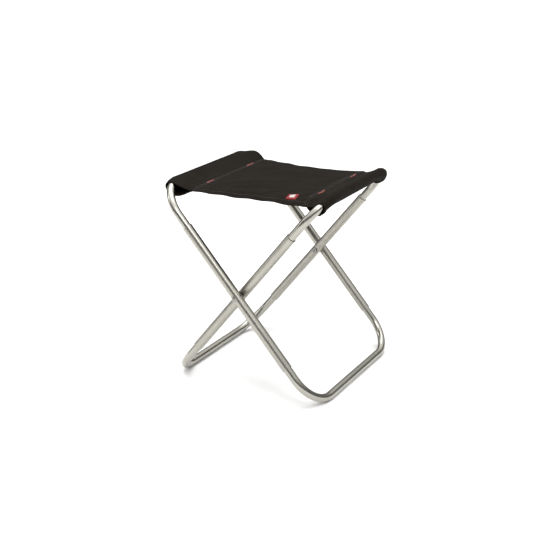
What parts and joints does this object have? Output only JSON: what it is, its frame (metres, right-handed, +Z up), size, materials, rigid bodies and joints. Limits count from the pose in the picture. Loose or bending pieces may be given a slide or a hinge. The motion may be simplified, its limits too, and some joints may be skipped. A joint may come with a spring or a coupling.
{
  "type": "folding camp stool",
  "caption": "Folding camp stool: two crossed aluminium tube rings on rivets with a cloth sling seat.",
  "frame": {"origin": "centre of the stool's footprint, on the floor", "axes": "+Z up; +X towards the inner ring's top rail and the outer ring's bottom rail; the front, with the label, faces -Y; the pivot line runs along Y"},
  "size_m": [0.3472, 0.3778, 0.4059],
  "materials": {
    "bend_tube": "polished anodised",
    "sleeve_tube": "satin anodised",
    "rivet": "plated",
    "spacer": "matte",
    "cloth": "woven polyester",
    "hem": "woven polyester",
    "thread": "thread",
    "tack": "dense stitching",
    "label": "woven label",
    "label_print": "woven label"
  },
  "bodies": {
    "outer_frame": {"outer_top_bend": "bend_tube", "outer_bottom_bend": "bend_tube", "outer_front_tube": "sleeve_tube", "outer_back_tube": "sleeve_tube", "pivot_rivets": "rivet", "pivot_spacers": "spacer"},
    "inner_frame": {"inner_top_bend": "bend_tube", "inner_bottom_bend": "bend_tube", "inner_front_tube": "sleeve_tube", "inner_back_tube": "sleeve_tube", "pivot_washers": "spacer"},
    "outer_seat": {"outer_seat_cloth": "cloth", "outer_seat_hems": "hem", "outer_mouth_hems": "hem", "outer_seam_threads": "thread", "outer_bar_tacks": "tack"},
    "inner_seat": {"inner_seat_cloth": "cloth", "inner_seat_hems": "hem", "inner_mouth_hems": "hem", "inner_seam_threads": "thread", "inner_bar_tacks": "tack", "seat_label": "label", "label_block": "label_print"}
  },
  "joints": [
    {"name": "fold", "type": "hinge", "parent": "outer_frame", "child": "inner_frame", "pos_m": [0, 0, 0.20104], "axis": [0, -1, 0], "range_deg": [0, 75]},
    {"name": "outer_seat_turn", "type": "hinge", "parent": "outer_frame", "child": "outer_seat", "pos_m": [-0.16327, 0, 0.39562], "axis": [0, 1, 0], "range_deg": [0, 45.45], "deforming": ["outer_seat_cloth", "outer_seat_hems", "outer_mouth_hems", "outer_seam_threads", "outer_bar_tacks"]},
    {"name": "inner_seat_turn", "type": "hinge", "parent": "inner_frame", "child": "inner_seat", "pos_m": [0.16327, 0, 0.39562], "axis": [0, -1, 0], "range_deg": [0, 45.45], "deforming": ["inner_seat_cloth", "inner_seat_hems", "inner_mouth_hems", "inner_seam_threads", "inner_bar_tacks", "seat_label", "label_block"]}
  ],
  "couplings": [
    {"joint": "outer_seat_turn", "follows": "fold", "ratio": 0.606},
    {"joint": "inner_seat_turn", "follows": "fold", "ratio": 0.606}
  ]
}
